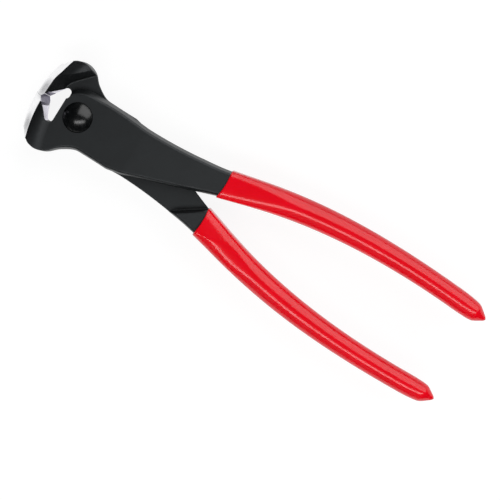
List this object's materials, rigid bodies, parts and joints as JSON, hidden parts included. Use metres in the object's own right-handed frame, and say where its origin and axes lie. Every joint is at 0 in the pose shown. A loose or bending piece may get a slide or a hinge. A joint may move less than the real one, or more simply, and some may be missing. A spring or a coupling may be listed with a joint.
{
  "type": "end cutting nippers",
  "caption": "End cutting nippers: crossing black forged levers on a domed rivet, with wide flared jaws ground to flush cutting edges and bowed handles in red dipped plastic.",
  "frame": {"origin": "middle of the bounding box's base, with the tool lying flat and closed", "axes": "+X along the tool from the jaws to the handle ends, +Z along the pivot axis, out of the top lever's cheek"},
  "size_m": [0.2, 0.0502, 0.025],
  "materials": {
    "forged_steel": "black phosphated drop-forged tool steel, satin, with bright ground cutting faces",
    "rivet_steel": "blackened polished steel, semi-gloss",
    "dipped_plastic": "glossy red dipped soft plastic"
  },
  "bodies": {
    "top_half": {"top_lever": "forged_steel", "top_grip": "dipped_plastic", "pivot_rivet": "rivet_steel"},
    "bottom_half": {"bottom_lever": "forged_steel", "bottom_grip": "dipped_plastic"}
  },
  "joints": [
    {"name": "jaw_pivot", "type": "hinge", "parent": "top_half", "child": "bottom_half", "pos_m": [-0.0803, 0, 0.0125], "axis": [0, 0, -1], "range_deg": [0, 60]}
  ]
}
